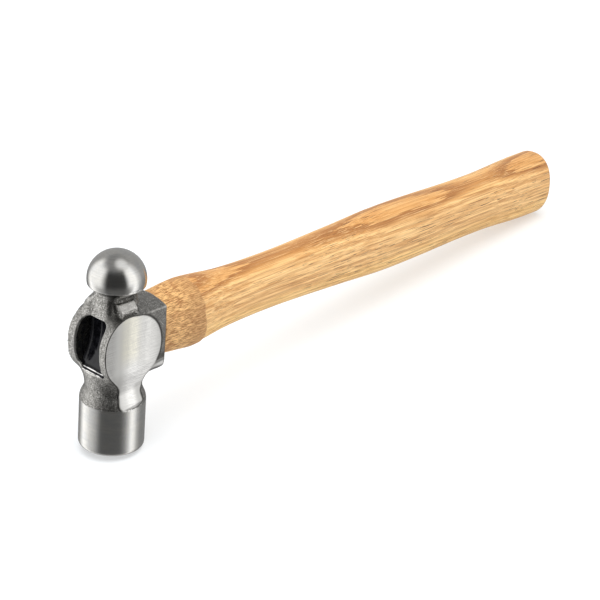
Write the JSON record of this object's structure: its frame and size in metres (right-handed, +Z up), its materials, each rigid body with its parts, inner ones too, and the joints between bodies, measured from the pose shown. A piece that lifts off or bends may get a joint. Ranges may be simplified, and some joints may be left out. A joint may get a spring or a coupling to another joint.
{
  "type": "ball peen hammer",
  "caption": "Ball peen hammer: forged steel head with a turned face, a ball peen and ground cheeks, wedged onto an oval, waisted oak handle.",
  "frame": {"origin": "on the bench, at the middle of the footprint of the hammer standing on its face's edge and its butt", "axes": "+X from the head towards the handle's butt, +Y across the handle, +Z up; the head leans back 6.7 degrees towards +X"},
  "size_m": [0.3576, 0.0318, 0.1011],
  "materials": {
    "head_steel": "forged grey, with turned and ground bright faces",
    "handle_wood": "clear lacquered oak",
    "wedge_wood": "plain",
    "wedge_steel": "as cut",
    "resin": "glossy black epoxy"
  },
  "bodies": {
    "root": {"hammer_head": "head_steel", "handle": "handle_wood", "wooden_wedge": "wedge_wood", "steel_wedge_lower": "wedge_steel", "steel_wedge_upper": "wedge_steel", "resin_seal": "resin"}
  },
  "joints": []
}
